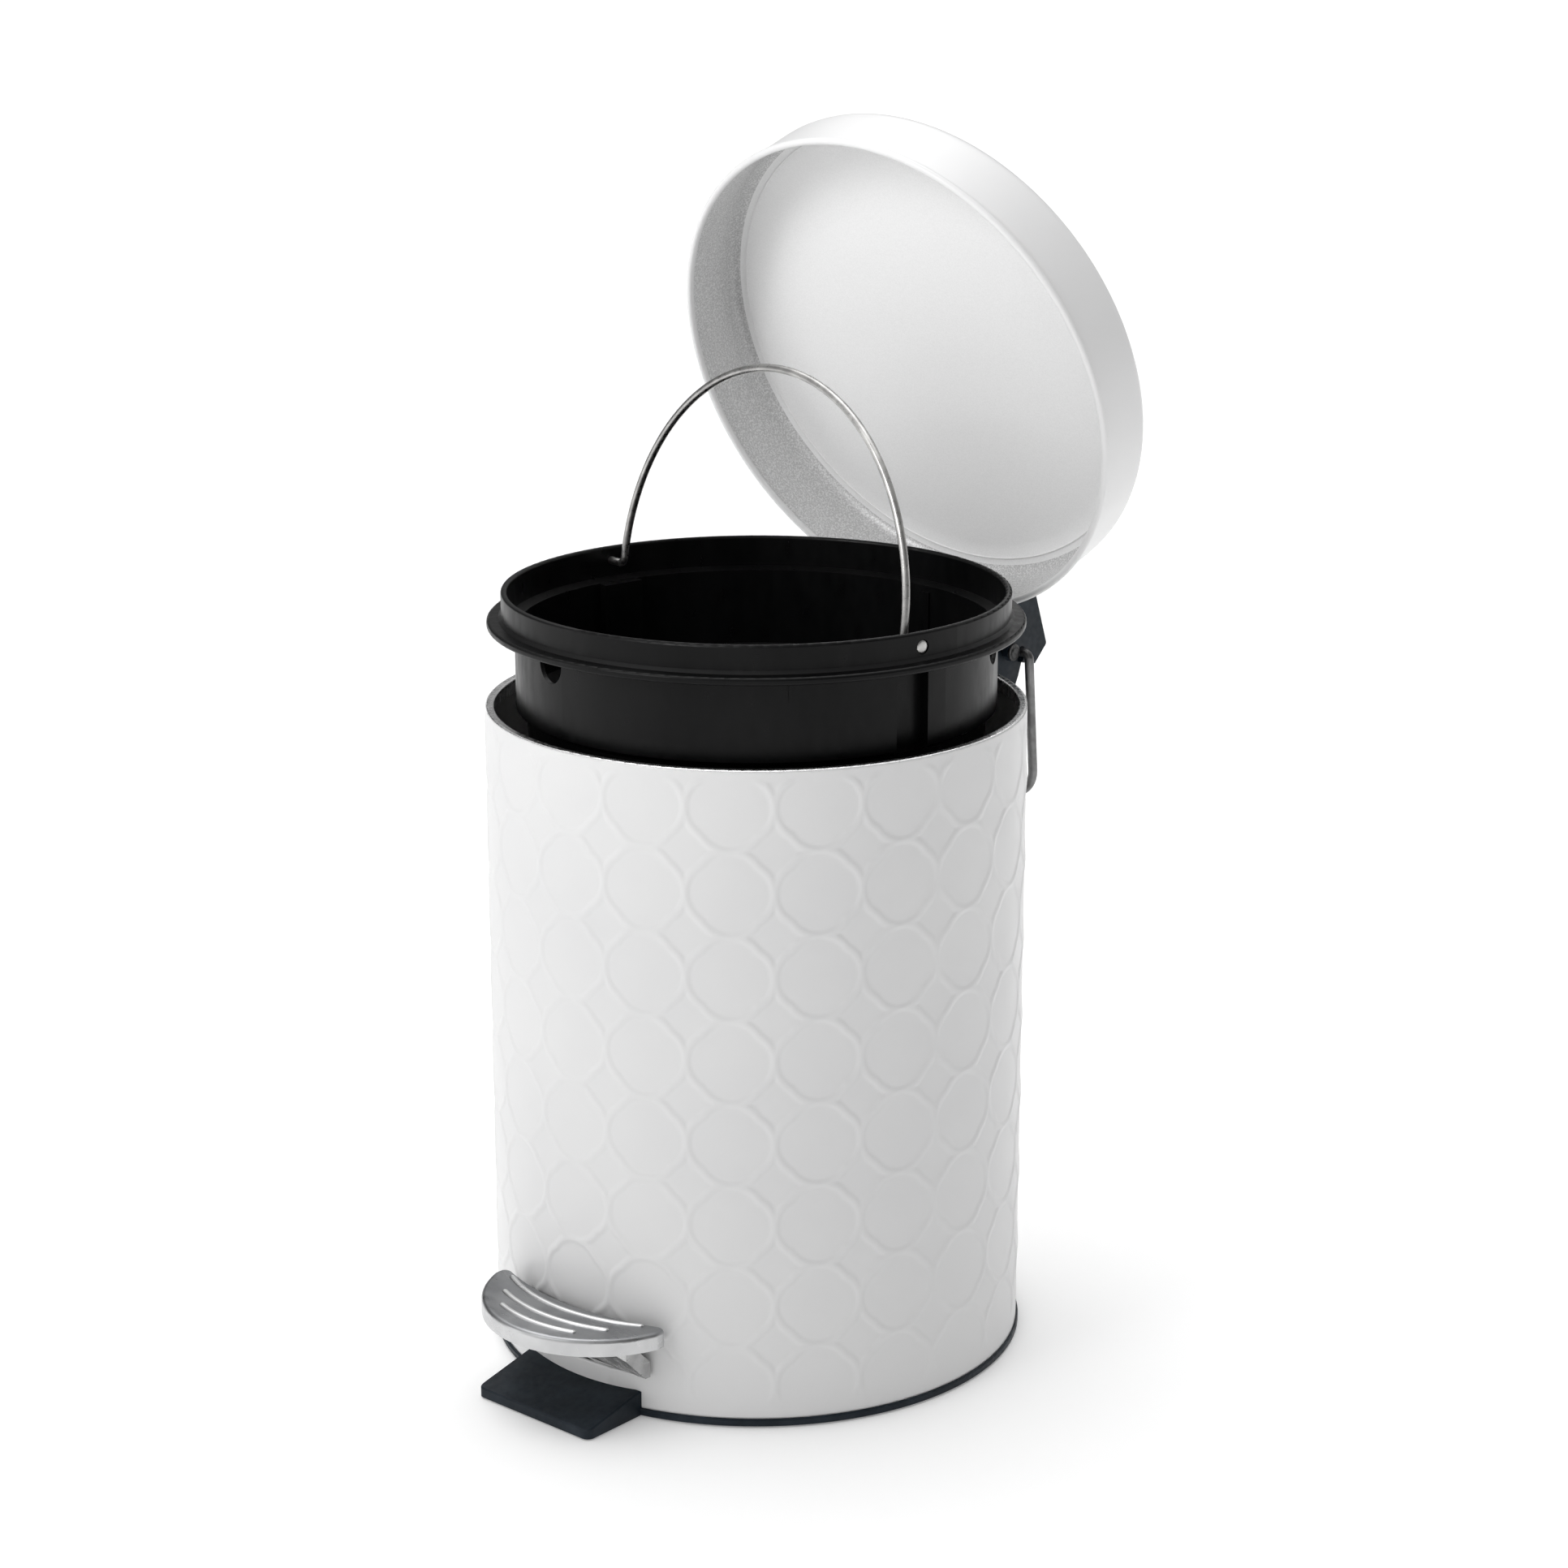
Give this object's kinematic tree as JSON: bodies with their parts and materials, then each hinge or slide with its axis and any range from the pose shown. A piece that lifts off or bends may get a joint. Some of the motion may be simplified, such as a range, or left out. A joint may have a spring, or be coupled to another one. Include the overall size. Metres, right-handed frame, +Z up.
{
  "type": "pedal bin",
  "caption": "Round steel pedal bin with a hinged lid, a lift-out plastic bucket with a wire bail, and a wire carrying handle.",
  "frame": {"origin": "centre of the can on the floor it stands on", "axes": "+Z up, the pedal points to -Y, the lid's hinge is at +Y, +X completes a right-handed frame"},
  "size_m": [0.2068, 0.2729, 0.4666],
  "materials": {
    "white_paint": "glossy powder coat over embossed steel",
    "black_plastic": "satin moulded",
    "bucket_plastic": "satin moulded",
    "rubber": "matt",
    "stainless": "satin, worn",
    "wire_steel": "drawn wire",
    "zinc_steel": "zinc plated"
  },
  "bodies": {
    "can": {"body_shell": "white_paint", "rim_ring": "stainless", "base_ring": "black_plastic", "rubber_ring": "rubber", "floor_pan": "black_plastic", "lever_axle": "zinc_steel", "axle_clips": "zinc_steel", "rod_guide": "black_plastic", "rod_guide_rivets": "zinc_steel", "rear_bracket": "black_plastic", "rear_bracket_rivets": "zinc_steel", "hinge_pin": "zinc_steel", "hinge_pin_clips": "zinc_steel"},
    "pedal": {"pedal_lever": "stainless", "pedal_tread": "stainless", "pedal_rivets": "zinc_steel"},
    "rod": {"push_rod": "wire_steel", "rod_end_clips": "zinc_steel"},
    "lid_body": {"lid": "white_paint", "lid_bracket": "black_plastic", "lid_bracket_rivets": "zinc_steel"},
    "bucket_body": {"bucket": "bucket_plastic"},
    "bail_body": {"bail": "wire_steel"},
    "handle_body": {"carry_handle": "wire_steel"}
  },
  "joints": [
    {"name": "lid_hinge", "type": "hinge", "parent": "can", "child": "lid_body", "pos_m": [0, 0.115, 0.255], "axis": [1, 0, 0], "range_deg": [0, 70]},
    {"name": "pedal_pivot", "type": "hinge", "parent": "can", "child": "pedal", "pos_m": [0, 0, 0.021], "axis": [-1, 0, 0], "range_deg": [0, 6.13]},
    {"name": "rod_slide", "type": "slide", "parent": "can", "child": "rod", "axis": [0, 0, -1], "range_m": [0, 0.01037]},
    {"name": "bucket_lift", "type": "slide", "parent": "can", "child": "bucket_body", "axis": [0, 0, -1], "range_m": [0, 0.03002]},
    {"name": "bail_swing", "type": "hinge", "parent": "bucket_body", "child": "bail_body", "pos_m": [0, 0, 0.2905], "axis": [0.9833, -0.1822, 0], "range_deg": [0, 98.1]},
    {"name": "handle_swing", "type": "hinge", "parent": "can", "child": "handle_body", "pos_m": [0, 0.121, 0.254], "axis": [1, 0, 0], "range_deg": [0, 135]}
  ],
  "couplings": [
    {"joint": "pedal_pivot", "follows": "lid_hinge", "ratio": 0.087252},
    {"joint": "rod_slide", "follows": "lid_hinge", "m_per_rad": 0.0084716},
    {"joint": "bucket_lift", "follows": "lid_hinge", "m_per_rad": 0.024555},
    {"joint": "bail_swing", "follows": "lid_hinge", "ratio": 1.4}
  ]
}
